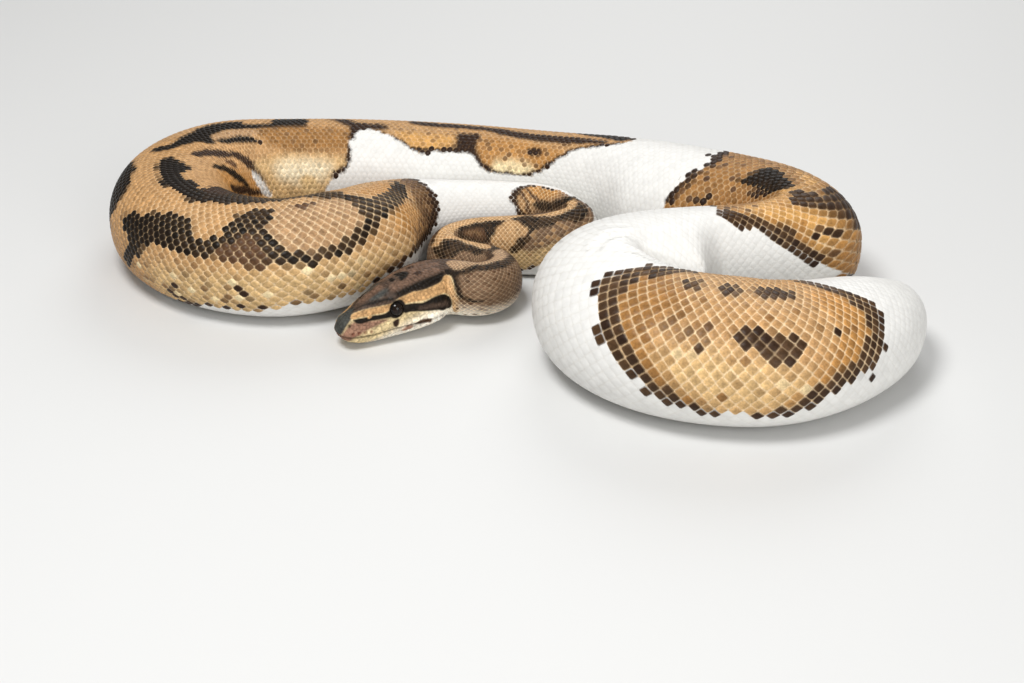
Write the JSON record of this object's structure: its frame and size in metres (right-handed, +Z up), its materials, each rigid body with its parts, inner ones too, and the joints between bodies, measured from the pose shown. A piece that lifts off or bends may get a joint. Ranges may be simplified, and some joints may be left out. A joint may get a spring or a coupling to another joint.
{
  "type": "coiled ball python",
  "caption": "Still, life-size ball python lying in loose coils, head flat on the floor, for display.",
  "frame": {"origin": "on the floor, under the middle of the coils' outline", "axes": "+X to the right along the longest way across the coils, +Y away from the head's side, +Z up"},
  "size_m": [0.3616, 0.2448, 0.0565],
  "materials": {
    "patterned_skin": "smooth scales, satin, tan with black-brown blotches",
    "white_skin": "smooth scales, satin, white without pigment",
    "head_skin": "head plates, satin, dark with tan stripes",
    "jaw_skin": "cream lip scales, satin",
    "eye": "wet gloss, black"
  },
  "bodies": {
    "root": {"head": "head_skin", "lower_jaw": "jaw_skin", "eye_far": "eye", "eye_near": "eye", "neck_1": "patterned_skin", "neck_2": "patterned_skin", "neck_3": "patterned_skin", "body_1": "white_skin", "body_2": "patterned_skin", "body_3": "patterned_skin", "body_4": "patterned_skin", "body_5": "patterned_skin", "body_6": "patterned_skin", "body_7": "white_skin", "body_8": "white_skin", "body_9": "patterned_skin", "body_10": "white_skin", "tail": "white_skin"}
  },
  "joints": []
}
